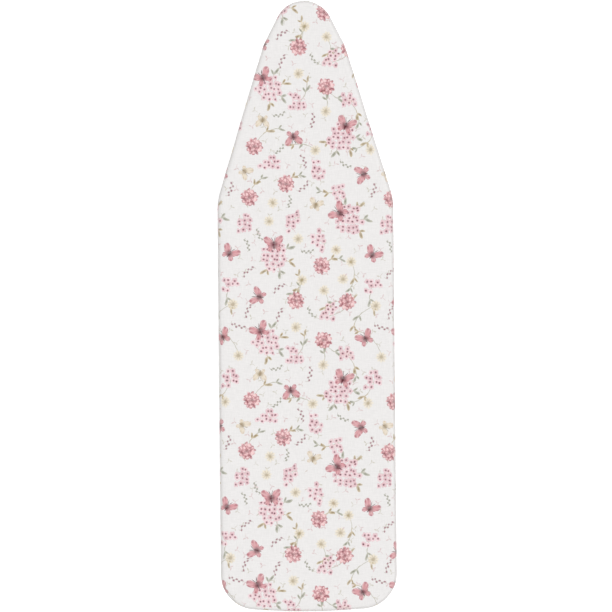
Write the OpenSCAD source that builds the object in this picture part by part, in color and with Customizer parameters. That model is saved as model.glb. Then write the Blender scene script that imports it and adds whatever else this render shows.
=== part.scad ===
// Table-top sleeve ironing board on a folding parallelogram stand.
// X is the width, +Y points to the narrow nose, +Z is up.
// The origin is on the table, under the middle of the board.

/* [Board] */
// Length of the covered board, nose to tail
board_l = 512; // [480:1:540]
// Full width of the covered board
board_w = 148; // [144:1:156]
// Height of the ironing surface above the table
board_h = 145; // [138:1:165]
// Length of the tapered part, nose to shoulder
taper_l = 167; // [155:1:175]
// Angle of each tapered side to the centre line, degrees
taper_a = 17; // [16:0.5:18]
// Radius of the nose tip
tip_r = 25; // [22:1:27]
// Radius where the nose tip runs into the tapered sides
cheek_r = 37; // [34:1:40]
// Radius of the shoulder between taper and straight side
shoulder_r = 60; // [50:1:64]
// Radius of the two tail corners
corner_r = 30; // [26:1:34]
// Radius of the slightly bowed tail edge
tail_r = 570; // [450:10:800]

/* [Layers] */
// Thickness of the cotton cover
cover_t = 1; // [0.8:0.1:1.2]
// Thickness of the felt pad
pad_t = 6; // [4:0.5:7]
// Thickness of the perforated deck plate
deck_t = 1.2; // [1:0.1:1.5]
// Height of the rim strip under the edge of the deck
rim_h = 8; // [7:0.5:9]
// Thickness of the rim strip
rim_t = 2.5; // [2:0.5:3]
// Width of cover folded in under the edge
hem_w = 26; // [22:1:26]
// Diameter of one vent hole in the deck
vent_d = 9; // [6:0.5:10]
// Distance between neighbouring vent holes
vent_pitch = 18; // [16:1:24]

/* [Stand] */
// Diameter of the rods of the base and of the links
rod_d = 8; // [7:0.5:8]
// Distance between the front and the rear link
link_gap = 200; // [190:1:210]
// Place of the front link's upper pivot along the board
pivot_y = 50; // [40:1:55]
// Height of the lower pivots above the table
base_pivot_z = 22; // [22:0.5:24]
// How far the open links lean past upright, degrees
lean_a = 12; // [10:1:14]
// Half the distance between the two legs of a link
leg_x = 36; // [34:0.5:36]
// Length of the base frame
base_l = 386; // [376:2:396]
// Width of the base frame, between rod centres
base_w = 104; // [104:1:108]

/* [Hidden] */
$fn = 48;
cut = 1;                // how far a cutting shape runs past what it cuts

// Heights of the layers, from the ironing surface down
pad_top = board_h - cover_t;
deck_top = pad_top - pad_t;
deck_bottom = deck_top - deck_t;
rim_bottom = deck_bottom - rim_h;
hem_gap = 0.2;
hem_top = rim_bottom - hem_gap;
hem_bottom = hem_top - cover_t;

// Outline of the board: circles down its right side, each [x, y, radius]
nose_y = board_l / 2;
tail_cy = tail_r - board_l / 2;
shoulder_y = nose_y - taper_l;
taper_reach = board_w / 2 * cos(taper_a) + shoulder_y * sin(taper_a);

// Circle that fits into a tail corner, for a tail arc of radius r_tail
function corner_circle(x, r, r_tail) = [x, tail_cy - sqrt(pow(r_tail - r, 2) - x * x), r];

board_circles = [
    [0, nose_y - tip_r, tip_r],
    [0, (taper_reach - cheek_r) / sin(taper_a), cheek_r],
    [board_w / 2 - shoulder_r, shoulder_y - shoulder_r * tan(taper_a / 2), shoulder_r],
    corner_circle(board_w / 2 - corner_r, corner_r, tail_r),
    [0, tail_cy, tail_r]];

// Outline of the opening that the elastic hem leaves underneath
hem_nose_r = 16;
hem_nose_setback = 64;
hem_corner_r = 14;
hem_circles = [
    [0, nose_y - hem_nose_setback - hem_nose_r, hem_nose_r],
    [board_circles[2].x, board_circles[2].y, shoulder_r - hem_w],
    corner_circle(board_w / 2 - hem_w - hem_corner_r, hem_corner_r, tail_r - hem_w),
    [0, tail_cy, tail_r - hem_w]];

// Elastic band and the casing sewn around it
elastic_w = 6;
elastic_t = 1.2;
casing_w = 9;
casing_t = 2.4;

// Edges of the layers, measured inwards from the outside of the cover
deck_inset = cover_t + 0.5;
rim_inset = deck_inset + rim_t;

// Vent holes stay this far inside the outline
vent_margin = rim_inset + vent_d / 2 + 3;
vent_row = vent_pitch * sin(60);

// Crossbars under the deck: channels that lie open side up
bar_w = 26;
bar_t = 1.5;

// Hinge brackets
plate_t = 2;
eye_r = 7;
eye_w = 8.8;
ear_gap = 11;
ear_r = 7.5;
bracket_l = 24;
eye_clear = 1.8;
deck_pivot_z = rim_bottom - plate_t - eye_clear - eye_r;

// Links
rod_r = rod_d / 2;
link_l = (deck_pivot_z - base_pivot_z) / cos(lean_a);
lean_y = link_l * sin(lean_a);
deck_ys = [pivot_y, pivot_y - link_gap];
base_ys = [deck_ys[0] - lean_y, deck_ys[1] - lean_y];

// Pivot pins, their caps and the nylon bushes that turn on them
pin_r = 3;
pin_head_r = 5;
pin_head_t = 2;
cap_t = 4.5;
pin_end = 3;
bush_r = 4.5;
flange_r = 6;
flange_t = 0.6;
bush_split = 0.3;       // half the gap between the two bushes of an eye
run_fit = 0.05;
open_fit = 0.3;         // radial play at the rear upper pivots

// Stops that carry the open links, across the ears of the deck brackets
stop_r = 2;
sleeve_r = 4;
stop_head_r = 3.5;
stop_head_t = 1;
stop_along = 15;
stop_gap = 0.3;
stop_out = rod_r + sleeve_r + stop_gap;
stop_at = [-stop_along * sin(lean_a) - stop_out * cos(lean_a),
    -stop_along * cos(lean_a) + stop_out * sin(lean_a)];
stop_ear_r = 5;

// Rivets
rivet_r = 2;
rivet_head_r = 3.5;
rivet_head_t = 1.2;
rivet_tail_t = 1;
rivet_y = 8;

// Base frame
base_rod_z = 10;
base_corner_r = 30;
base_front_y = 150;
base_rear_y = base_front_y - base_l;
strap_w = 24;
strap_t = 3;
strap_top = base_rod_z + strap_t / 2;

// Rubber feet: a sleeve on the rod with a flat sole
foot_r = 8;
foot_l = 22;
sole_w = 14;
foot_ys = [base_front_y - base_corner_r - foot_l / 2 - 0.5,
    base_rear_y + base_corner_r + foot_l / 2 + 0.5];

// Folded, the links rise by folded_a and their cross rods lie over the rear of the base,
// where the rear one rests on two rubber bumpers
folded_a = 3;
cross_at = (base_ys[1] - base_rear_y) / cos(folded_a);
bumper_x = 13;
bumper_l = 12;
bumper_w = 10;
bumper_gap = 0.3;
bumper_top = base_pivot_z + cross_at * sin(folded_a) - rod_r - bumper_gap;

steel = [0.80, 0.81, 0.82];
zinc = [0.66, 0.67, 0.68];
nylon = [0.93, 0.92, 0.88];
rubber = [0.16, 0.16, 0.17];
cotton = [0.95, 0.94, 0.94];
felt = [0.86, 0.85, 0.80];

// ---- outlines and rods ----

// Direction in which the line that wraps circles p and q from outside faces
function tangent_angle(p, q) =
    atan2(p.y - q.y, p.x - q.x) - acos(min(1, (q[2] - p[2]) / norm([p.x - q.x, p.y - q.y])));

// Angles at which a half outline passes from one circle to the next
function turn_angles(circles) = concat([90],
    [for (k = [0:len(circles) - 2]) tangent_angle(circles[k], circles[k + 1])], [-90]);

// Point of circle c, moved in by inset, at angle a
function on_circle(c, a, inset) = [c.x + (c[2] - inset) * cos(a), c.y + (c[2] - inset) * sin(a)];

// Right half of an outline, front to back
function half_outline(circles, inset, steps = 12) =
    let (angles = turn_angles(circles))
    [for (k = [0:len(circles) - 1], i = [0:steps])
        on_circle(circles[k], angles[k] + (angles[k + 1] - angles[k]) * i / steps, inset)];

module outline(circles, inset) {
    half = half_outline(circles, inset);
    polygon(concat(half, [for (i = [len(half) - 2:-1:1]) [-half[i].x, half[i].y]]));
}

module slab(circles, inset, bottom, top) {
    translate([0, 0, bottom]) linear_extrude(top - bottom) outline(circles, inset);
}

module both_sides() {
    children();
    mirror([1, 0, 0]) children();
}

// Straight rod between two points of the same height
module rod_line(p, q, r) {
    translate([p.x, p.y, 0]) rotate([0, 90, atan2(q.y - p.y, q.x - p.x)])
        cylinder(r = r, h = norm(q - p));
}

// Closed rod loop with round corners, from y0 to y1; w is the width between rod centres
module rod_loop(w, y0, y1, bend, r) {
    x = w / 2 - bend;
    both_sides() union() {
        for (side = [0, 1]) translate([x, side == 0 ? y1 - bend : y0 + bend, 0])
            rotate_extrude(angle = 90, start = -90 * side, $fn = 96) translate([bend, 0]) circle(r);
        for (y = [y0, y1]) rod_line([0, y], [x, y], r);
        rod_line([w / 2, y0 + bend], [w / 2, y1 - bend], r);
    }
}

// Cylinder along X from x0 to x1, through the point [y, z]
module x_rod(r, x0, x1, y = 0, z = 0) {
    translate([x0, y, z]) rotate([0, 90, 0]) cylinder(r = r, h = x1 - x0);
}

// ---- soft layers ----

module cover() {
    color(cotton) difference() {
        union() {
            slab(board_circles, 0, hem_bottom, board_h);
            slab(hem_circles, -casing_w, hem_top - casing_t, hem_bottom);
        }
        slab(board_circles, cover_t, hem_top, pad_top);
        slab(hem_circles, 0, hem_top - casing_t - cut, hem_top + cut);
        elastic_ring();
    }
}

module elastic_ring() {
    edge = (casing_w - elastic_w) / 2;
    bottom = hem_top - (casing_t + elastic_t) / 2;
    difference() {
        slab(hem_circles, -edge - elastic_w, bottom, bottom + elastic_t);
        slab(hem_circles, -edge, bottom - cut, bottom + elastic_t + cut);
    }
}

module hem_elastic() {
    color("white") elastic_ring();
}

module felt_pad() {
    color(felt) slab(board_circles, cover_t, deck_top, pad_top);
}

// ---- deck ----

// Half the width of the board at y, on its straight and tapered sides
function half_width(y) = min(board_w / 2, (taper_reach - y * sin(taper_a)) / cos(taper_a));

vent_ys = [for (y = [-board_l / 2 + corner_r * 0.6 : vent_row : nose_y - tip_r - vent_margin]) y];

module vents() {
    for (j = [0:len(vent_ys) - 1]) {
        reach = half_width(vent_ys[j]) - vent_margin / cos(taper_a);
        shift = j % 2 == 0 ? 0 : vent_pitch / 2;
        count = floor((reach - shift) / vent_pitch);
        for (i = [0:max(count, 0)]) {
            x = shift + i * vent_pitch;
            if (x <= reach) translate([x, vent_ys[j]]) circle(d = vent_d, $fn = 24);
            if (x > 0 && x <= reach) translate([-x, vent_ys[j]]) circle(d = vent_d, $fn = 24);
        }
    }
}

module deck_plate() {
    color(zinc) translate([0, 0, deck_bottom]) linear_extrude(deck_t) difference() {
        outline(board_circles, deck_inset);
        vents();
    }
}

module rim_strip() {
    color(zinc) difference() {
        slab(board_circles, deck_inset, rim_bottom, deck_bottom);
        slab(board_circles, rim_inset, rim_bottom - cut, deck_bottom + cut);
    }
}

// ---- rivets ----

// Places of the four rivets of a pair of brackets
module at_rivets() {
    both_sides() for (s = [-1, 1]) translate([leg_x, s * rivet_y, 0]) children();
}

module rivet_bores() {
    at_rivets() translate([0, 0, -rod_d]) cylinder(r = rivet_r, h = 2 * rod_d);
}

// Rivet through a stack from z = 0 up to grip; the round head is at the bottom
module rivet(grip) {
    translate([0, 0, -rivet_head_t]) cylinder(r = rivet_head_r, h = rivet_head_t);
    cylinder(r = rivet_r, h = grip);
    translate([0, 0, grip]) cylinder(r = rivet_head_r - 0.5, h = rivet_tail_t);
}

// ---- crossbars and straps ----

module crossbar(y) {
    rim_x = board_w / 2 - rim_inset;
    color(zinc) translate([0, y, 0]) difference() {
        translate([-rim_x, -bar_w / 2, rim_bottom]) cube([2 * rim_x, bar_w, rim_h]);
        translate([-rim_x - cut, -bar_w / 2 + bar_t, rim_bottom + bar_t])
            cube([2 * (rim_x + cut), bar_w - 2 * bar_t, rim_h]);
        translate([0, 0, rim_bottom]) rivet_bores();
    }
}

module base_strap(y) {
    rod_x = base_w / 2;
    color(steel) translate([0, y, 0]) difference() {
        translate([-rod_x, -strap_w / 2, strap_top - strap_t]) cube([2 * rod_x, strap_w, strap_t]);
        both_sides() translate([rod_x, -strap_w, base_rod_z]) rotate([-90, 0, 0])
            cylinder(r = rod_r, h = 2 * strap_w);
        translate([0, 0, strap_top]) rivet_bores();
    }
}

// ---- brackets ----

// Flat shape with round ends between two points
module capsule(p, q, r) {
    translate(p) circle(r);
    translate(q) circle(r);
    translate(p) rotate(atan2(q.y - p.y, q.x - p.x)) translate([0, -r]) square([norm(q - p), 2 * r]);
}

// Ear outline around the pivot; plate_at is the far side of the bracket's plate
module ear_shape(plate_at) {
    s = sign(plate_at);
    circle(ear_r);
    polygon([[-ear_r, 0], [-bracket_l / 2, plate_at - s * 2 * plate_t], [-bracket_l / 2, plate_at],
        [bracket_l / 2, plate_at], [bracket_l / 2, plate_at - s * 2 * plate_t], [ear_r, 0]]);
}

// Two ears and the plate that joins them, with bores for the pivot pin and two rivets
module bracket(plate_at, stop) {
    inner = leg_x - ear_gap / 2 - plate_t;
    outer = leg_x + ear_gap / 2;
    difference() {
        union() {
            for (x = [inner, outer]) translate([x, 0, 0]) rotate([90, 0, 90])
                linear_extrude(plate_t) {
                    ear_shape(plate_at);
                    if (stop) capsule([0, 0], stop_at, stop_ear_r);
                }
            translate([inner, -bracket_l / 2, min(plate_at, plate_at - sign(plate_at) * plate_t)])
                cube([outer + plate_t - inner, bracket_l, plate_t]);
        }
        x_rod(pin_r, inner - cut, outer + plate_t + cut);
        if (stop) x_rod(stop_r, inner - cut, outer + plate_t + cut, stop_at.x, stop_at.y);
        for (s = [-1, 1]) translate([leg_x, s * rivet_y, plate_at - eye_r])
            cylinder(r = rivet_r, h = 2 * eye_r);
    }
}

module deck_brackets(y) {
    color(zinc) translate([0, y, deck_pivot_z]) both_sides()
        bracket(rim_bottom - deck_pivot_z, true);
}

module base_brackets(y) {
    color(steel) translate([0, y, base_pivot_z]) both_sides()
        bracket(strap_top - base_pivot_z, false);
}

module deck_rivets() {
    color(zinc) for (y = deck_ys)
        translate([0, y, rim_bottom - plate_t]) at_rivets() rivet(plate_t + bar_t);
}

module base_rivets() {
    color(zinc) for (y = base_ys)
        translate([0, y, strap_top + plate_t]) at_rivets() mirror([0, 0, 1]) rivet(plate_t + strap_t);
}

// ---- pivot pins, caps and bushes ----

ear_inside = leg_x - ear_gap / 2 - plate_t;
ear_outside = leg_x + ear_gap / 2 + plate_t;

module pins(y, z) {
    color(steel) translate([0, y, z]) both_sides() {
        x_rod(pin_r, ear_inside - pin_end, ear_outside);
        x_rod(pin_head_r, ear_outside, ear_outside + pin_head_t);
    }
}

module caps(y, z) {
    color(rubber) translate([0, y, z]) both_sides() difference() {
        x_rod(pin_head_r, ear_inside - cap_t, ear_inside);
        x_rod(pin_r, ear_inside - pin_end, ear_inside + cut);
    }
}

module deck_pin_caps() {
    for (y = deck_ys) caps(y, deck_pivot_z);
}

module base_pin_caps() {
    for (y = base_ys) caps(y, base_pivot_z);
}

module stop_pins() {
    color(steel) for (y = deck_ys) translate([0, y + stop_at.x, deck_pivot_z + stop_at.y])
        both_sides() {
            x_rod(stop_r, ear_inside - stop_head_t, ear_outside + stop_head_t);
            x_rod(stop_head_r, ear_inside - stop_head_t, ear_inside);
            x_rod(stop_head_r, ear_outside, ear_outside + stop_head_t);
        }
}

module stop_sleeves() {
    reach = eye_w / 2 + flange_t;
    color(rubber) for (y = deck_ys) translate([0, y + stop_at.x, deck_pivot_z + stop_at.y])
        both_sides() difference() {
            x_rod(sleeve_r, leg_x - reach, leg_x + reach);
            x_rod(stop_r, leg_x - reach - cut, leg_x + reach + cut);
        }
}

// Two flanged bushes, pushed into an eye from both sides
module bush_pair(play) {
    for (s = [0, 1]) translate([leg_x, 0, 0]) mirror([s, 0, 0]) difference() {
        union() {
            x_rod(bush_r, bush_split, eye_w / 2);
            x_rod(flange_r, eye_w / 2, eye_w / 2 + flange_t);
        }
        x_rod(pin_r + play, -cut, eye_w);
    }
}

// ---- links ----

// Frame of a link: the lower pivot is the origin, and it leans by lean_a
module at_link(i) {
    translate([0, base_ys[i], base_pivot_z]) rotate([-lean_a, 0, 0]) children();
}

module link_frame(i) {
    color(steel) at_link(i) difference() {
        union() {
            both_sides() {
                translate([leg_x, 0, 0]) cylinder(r = rod_r, h = link_l);
                for (z = [0, link_l]) x_rod(eye_r, leg_x - eye_w / 2, leg_x + eye_w / 2, 0, z);
            }
            x_rod(rod_r, -leg_x, leg_x, 0, cross_at);
        }
        both_sides() for (z = [0, link_l])
            x_rod(bush_r, leg_x - eye_w, leg_x + eye_w, 0, z);
    }
}

module link_bushes(i, upper_play) {
    color(nylon) at_link(i) both_sides() {
        bush_pair(run_fit);
        translate([0, 0, link_l]) bush_pair(upper_play);
    }
}

// ---- base ----

module base_loop() {
    color(steel) translate([0, 0, base_rod_z])
        rod_loop(base_w, base_rear_y, base_front_y, base_corner_r, rod_r);
}

// Sleeve on a rod that runs along Y through the origin, with a block from z0 to z1
module rod_block(l, w, z0, z1) {
    difference() {
        union() {
            translate([0, l / 2, 0]) rotate([90, 0, 0]) cylinder(r = foot_r, h = l);
            translate([-w / 2, -l / 2, z0]) cube([w, l, z1 - z0]);
        }
        translate([0, l, 0]) rotate([90, 0, 0]) cylinder(r = rod_r, h = 2 * l);
    }
}

module feet(y) {
    color(rubber) both_sides() translate([base_w / 2, y, base_rod_z])
        rod_block(foot_l, sole_w, -base_rod_z, 0);
}

module fold_bumpers() {
    color(rubber) both_sides() translate([bumper_x, base_rear_y, base_rod_z])
        rotate([0, 0, 90]) rod_block(bumper_l, bumper_w, 0, bumper_top - base_rod_z);
}

cover();
hem_elastic();
felt_pad();
deck_plate();
rim_strip();
crossbar(deck_ys[0]);  // front_crossbar
crossbar(deck_ys[1]);  // rear_crossbar
deck_brackets(deck_ys[0]);  // front_deck_brackets
deck_brackets(deck_ys[1]);  // rear_deck_brackets
deck_rivets();
pins(deck_ys[0], deck_pivot_z);  // front_deck_pins
pins(deck_ys[1], deck_pivot_z);  // rear_deck_pins
deck_pin_caps();
stop_pins();
stop_sleeves();
link_frame(0);  // front_link_frame
link_bushes(0, run_fit);  // front_link_bushes
link_frame(1);  // rear_link_frame
link_bushes(1, open_fit);  // rear_link_bushes
base_loop();
base_strap(base_ys[0]);  // base_front_strap
base_strap(base_ys[1]);  // base_rear_strap
base_brackets(base_ys[0]);  // base_front_brackets
base_brackets(base_ys[1]);  // base_rear_brackets
base_rivets();
pins(base_ys[0], base_pivot_z);  // front_base_pins
pins(base_ys[1], base_pivot_z);  // rear_base_pins
base_pin_caps();
feet(foot_ys[0]);  // front_feet
feet(foot_ys[1]);  // rear_feet
fold_bumpers();
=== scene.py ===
"""Looks of a table-top sleeve ironing board: a padded deck in a printed cotton cover, on a
folding stand."""

import math
import random

import bmesh
import bpy
from mathutils import Matrix, Vector
from mathutils.noise import noise


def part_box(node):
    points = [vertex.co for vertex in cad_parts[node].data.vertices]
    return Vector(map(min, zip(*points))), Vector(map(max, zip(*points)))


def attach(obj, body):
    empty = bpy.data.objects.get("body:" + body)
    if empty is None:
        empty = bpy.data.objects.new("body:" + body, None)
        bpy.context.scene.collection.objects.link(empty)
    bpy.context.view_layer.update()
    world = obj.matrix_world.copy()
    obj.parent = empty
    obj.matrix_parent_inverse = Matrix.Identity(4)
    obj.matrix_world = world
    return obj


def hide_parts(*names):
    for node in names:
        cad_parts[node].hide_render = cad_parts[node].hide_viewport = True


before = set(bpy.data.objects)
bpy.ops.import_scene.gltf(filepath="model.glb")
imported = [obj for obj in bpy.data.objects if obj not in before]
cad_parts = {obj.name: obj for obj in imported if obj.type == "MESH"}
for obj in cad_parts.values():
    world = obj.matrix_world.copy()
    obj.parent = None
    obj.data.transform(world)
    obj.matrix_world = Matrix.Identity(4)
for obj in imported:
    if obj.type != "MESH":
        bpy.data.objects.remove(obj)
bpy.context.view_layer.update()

PI = math.pi

# ---------------------------------------------------------------- camera and light

VIEW_DISTANCE = 2.6  # camera above the ironing surface
VIEW_HEIGHT = 0.5115  # what the picture's height spans on the ironing surface
VIEW_TURN = math.radians(-0.54)  # the board lies very slightly askew in the view
VIEW_SHIFT = (-0.0003, 0.0)
VIEW_REACH = 20
SENSOR = 36.0  # in mm
LIGHT_FACING = (-0.10, -0.06, -1.0)
LIGHT_SPREAD, LIGHT_STRENGTH = 50, 2.2  # degrees, watts per square metre
SKY_OVERHEAD, SKY_HORIZON = 0.40, 1.0  # brightness
SKY_BAND = (0.10, 0.17)  # heights between which one fades into the other

cover_high = Vector(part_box("cover")[1])
top_z = cover_high.z


def add_camera():
    data = bpy.data.cameras.new("camera")
    data.sensor_width = SENSOR
    data.lens = SENSOR * VIEW_DISTANCE / VIEW_HEIGHT
    data.clip_end = VIEW_REACH
    camera = bpy.data.objects.new("camera", data)
    camera.location = (VIEW_SHIFT[0], VIEW_SHIFT[1], top_z + VIEW_DISTANCE)
    camera.rotation_euler = (0, 0, VIEW_TURN)
    bpy.context.collection.objects.link(camera)
    bpy.context.scene.camera = camera


def add_softbox(name, facing, spread, strength):
    """A far, wide light that shines along facing."""
    data = bpy.data.lights.new(name, "SUN")
    data.angle = math.radians(spread)
    data.energy = strength
    light = bpy.data.objects.new(name, data)
    light.rotation_euler = Vector(facing).to_track_quat("-Z", "Y").to_euler()
    bpy.context.collection.objects.link(light)


add_camera()
add_softbox("overhead", LIGHT_FACING, LIGHT_SPREAD, LIGHT_STRENGTH)
bpy.context.scene.view_settings.view_transform = "Standard"


# ---------------------------------------------------------------- shader helpers

def linear(red, green, blue):
    """A display colour, 0 to 255 a channel, as the shader's linear colour."""
    def channel(value):
        value /= 255
        return value / 12.92 if value <= 0.04045 else ((value + 0.055) / 1.055) ** 2.4
    return (channel(red), channel(green), channel(blue), 1.0)


class Tree:
    """Adds nodes to one node tree; its methods return output sockets."""

    def __init__(self, tree):
        self.tree = tree

    def feed(self, socket, value):
        if isinstance(value, bpy.types.NodeSocket):
            self.tree.links.new(value, socket)
        elif value is not None:
            socket.default_value = value

    def node(self, kind, inputs=None, **settings):
        node = self.tree.nodes.new(kind)
        for name, value in settings.items():
            setattr(node, name, value)
        for name, value in (inputs or {}).items():
            self.feed(node.inputs[name], value)
        return node

    def math(self, operation, a, b=None, c=None):
        node = self.node("ShaderNodeMath", {0: a, 1: b, 2: c}, operation=operation)
        return node.outputs[0]

    def vector(self, operation, a, b=None, c=None):
        node = self.node("ShaderNodeVectorMath", {0: a, 1: b, 2: c}, operation=operation)
        return node.outputs["Value" if operation in ("LENGTH", "DOT_PRODUCT", "DISTANCE") else "Vector"]

    def scale(self, a, factor):
        node = self.node("ShaderNodeVectorMath", {0: a, "Scale": factor}, operation="SCALE")
        return node.outputs["Vector"]

    def parts(self, a):
        node = self.node("ShaderNodeSeparateXYZ", {0: a})
        return node.outputs[0], node.outputs[1], node.outputs[2]

    def join(self, x, y, z=0.0):
        return self.node("ShaderNodeCombineXYZ", {0: x, 1: y, 2: z}).outputs[0]

    def step(self, value, low, high):
        """0 below low and 1 above high, or the other way round when low is above high."""
        flip = low > high
        node = self.node("ShaderNodeMapRange", {
            "Value": value, "From Min": min(low, high), "From Max": max(low, high),
            "To Min": 1.0 if flip else 0.0, "To Max": 0.0 if flip else 1.0},
            interpolation_type="SMOOTHSTEP")
        return node.outputs[0]

    def turn(self, a, angle):
        """Turned about the third axis; the angle is in radians."""
        node = self.node("ShaderNodeVectorRotate", {"Vector": a, "Angle": angle},
            rotation_type="Z_AXIS")
        return node.outputs[0]

    def noise(self, a, size, detail=2.0, roughness=0.5, colour=False):
        node = self.node("ShaderNodeTexNoise", {
            "Vector": a, "Scale": 1 / size, "Detail": detail, "Roughness": roughness})
        return node.outputs["Color" if colour else 0]

    def mix(self, factor, a, b):
        node = self.node("ShaderNodeMix", data_type="RGBA")
        self.feed(node.inputs["Factor"], factor)
        self.feed(node.inputs[6], a)
        self.feed(node.inputs[7], b)
        return node.outputs[2]

    def mix_vector(self, factor, a, b):
        node = self.node("ShaderNodeMix", data_type="VECTOR")
        self.feed(node.inputs["Factor"], factor)
        self.feed(node.inputs[4], a)
        self.feed(node.inputs[5], b)
        return node.outputs[1]

    def bump(self, height, strength, distance):
        node = self.node("ShaderNodeBump", {
            "Height": height, "Strength": strength, "Distance": distance})
        return node.outputs[0]


def add_world(overhead, horizon):
    """Even white light, brighter towards the horizon so that the backdrop stays white."""
    world = bpy.data.worlds.new("studio")
    world.use_nodes = True
    t = Tree(world.node_tree)
    _, _, height = t.parts(t.node("ShaderNodeTexCoord").outputs["Generated"])
    fade = t.node("ShaderNodeMapRange", {"Value": height, "From Min": SKY_BAND[0],
        "From Max": SKY_BAND[1], "To Min": horizon, "To Max": overhead},
        interpolation_type="SMOOTHSTEP")
    t.feed(world.node_tree.nodes["Background"].inputs["Strength"], fade.outputs[0])
    world.node_tree.nodes["Background"].inputs["Color"].default_value = (1, 1, 1, 1)
    bpy.context.scene.world = world


def new_material(name, **constants):
    """A material with a Principled shader, its even values set on the shader's own sockets."""
    material = bpy.data.materials.new(name)
    material.use_nodes = True
    shader = material.node_tree.nodes["Principled BSDF"]
    for key, value in constants.items():
        shader.inputs[key.replace("_", " ").title().replace("Ior", "IOR")].default_value = value
    return material, Tree(material.node_tree), shader


def object_mm(t):
    """The place on the piece, in millimetres."""
    coordinates = t.node("ShaderNodeTexCoord").outputs["Object"]
    return t.scale(coordinates, 1000.0)


# ---------------------------------------------------------------- the cover's print

TILE_W, TILE_L = 119.5, 212.0  # one repeat of the print, in mm
PRINT_TURN = math.radians(1.12)  # the cloth lies slightly askew on the board
TRIES = 90  # random places drawn for a motif, of which the clearest is taken
KIND_STEP = 0.001  # a motif's kind rides in the third coordinate, too small to change a length


class Layout:
    """Strews motifs over one repeat of the print, evenly and clear of each other.
    A spot is (x, y, radius, turn, kind)."""

    def __init__(self, seed):
        self.draw = random.Random(seed)
        self.taken = []

    def gap(self, x, y, radius):
        """Clear distance from a circle to the nearest motif."""
        gaps = [TILE_W]
        for other_x, other_y, other_radius in self.taken:
            across, along = abs(x - other_x), abs(y - other_y)
            away = math.hypot(min(across, TILE_W - across), min(along, TILE_L - along))
            gaps.append(away - radius - other_radius)
        return min(gaps)

    def strew(self, count, radius, room, kind=0, inside=0.0):
        """count spots of one radius, each with some room kept around it."""
        spots = []
        for _ in range(count):
            tries = [(self.draw.uniform(inside, TILE_W - inside),
                self.draw.uniform(inside, TILE_L - inside)) for _ in range(TRIES)]
            x, y = max(tries, key=lambda spot: self.gap(*spot, room))
            self.taken.append((x, y, room))
            spots.append((x, y, radius, self.draw.uniform(0, 360), kind))
        return spots

    def around(self, spot, radius, turn, away, kind=0):
        """A spot beside another one, on its outward side and facing outwards."""
        x, y = spot[0], spot[1]
        angle = math.radians(turn)
        place = (x + away * math.cos(angle), y + away * math.sin(angle))
        self.taken.append((*place, radius * 0.8))
        return (*place, radius, turn - 90, kind)

    def stem(self, spot, radius, span, turn, side):
        """A curved stalk that leaves a spot: its circle's centre and radius, middle and half span."""
        start = math.radians(turn)
        centre = (spot[0] + radius * math.cos(start), spot[1] + radius * math.sin(start))
        middle = start + PI + side * math.radians(span)
        return (*centre, radius, math.degrees(middle), span)

    def on_stem(self, stem, share, radius, side, kind=0):
        """A leaf pair on a stalk, at a share of it from its middle."""
        x, y, reach, middle, span = stem
        angle = math.radians(middle + side * share * span)
        place = (x + reach * math.cos(angle), y + reach * math.sin(angle))
        self.taken.append((*place, radius * 0.7))
        return (*place, radius, math.degrees(angle) + (0 if side > 0 else 180), kind)


layout = Layout(21)
posies = layout.strew(4, 11.5, 14, inside=12)
DAHLIAS = layout.strew(7, 7.4, 8.5)
BUTTERFLIES = [layout.around(posy, 10.2, 70 + 25 * i, 10) for i, posy in enumerate(posies)]
BUTTERFLIES += layout.strew(5, 9.4, 9)
umbels = layout.strew(11, 6.2, 7, inside=7)
BUTTERFLIES += layout.strew(3, 7.6, 7.5, kind=1)
CREAMS = layout.strew(14, 5.0, 5.5)
CLUSTERS = [spot[:3] for spot in posies + umbels]
CLUSTERS += [(x + 7.5 * math.cos(turn), y + 7.5 * math.sin(turn), 4.4) for x, y, _, turn, _ in umbels]
STEMS = []
LEAVES = []
for i, spot in enumerate(DAHLIAS + CREAMS[::2] + umbels[::2]):
    side = 1 if i % 2 else -1
    stalk = layout.stem(spot, 17 + 3 * (i % 4), 26 + 5 * (i % 3), spot[3], side)
    STEMS.append(stalk)
    LEAVES.append(layout.on_stem(stalk, 0.25, 5.2, side, i % 2))
    LEAVES.append(layout.on_stem(stalk, 0.95, 4.4, side, (i + 1) % 2))
for i, posy in enumerate(posies):
    LEAVES += [layout.around(posy, 5.4, 200 + 37 * i + 52 * j, 14, j % 2) for j in range(4)]
SPRIGS = layout.strew(9, 7.0, 6)
SPRIGS += layout.strew(8, 6.0, 5, kind=1)


def wrapped(t, place, x, y):
    """The way from (x, y) to the place, in the nearest repeat."""
    away = t.vector("SUBTRACT", place, (x, y, 0))
    return t.vector("WRAP", away, (TILE_W / 2, TILE_L / 2, 1), (-TILE_W / 2, -TILE_L / 2, -1))


def nearest(t, place, spots):
    """Coordinates in the nearest spot's own frame and radius; z holds its kind."""
    best = distance = None
    for x, y, radius, turn, kind in spots:
        near = t.turn(wrapped(t, place, x, y), -math.radians(turn))
        near = t.vector("MULTIPLY_ADD", near, (1 / radius,) * 3, (0, 0, kind * KIND_STEP))
        reach = t.vector("LENGTH", near)
        if best is None:
            best, distance = near, reach
        else:
            best = t.mix_vector(t.math("LESS_THAN", reach, distance), best, near)
            distance = t.math("MINIMUM", reach, distance)
    return best, distance


def oval(t, place, x, y, turn, long, short):
    """How far outside an oval a place is: -1 at its middle, 0 on its edge."""
    near = t.turn(t.vector("SUBTRACT", place, (x, y, 0)), -math.radians(turn))
    flat = t.vector("MULTIPLY", near, (1 / long, 1 / short, 0))
    return t.math("SUBTRACT", t.vector("LENGTH", flat), 1.0)


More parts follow.
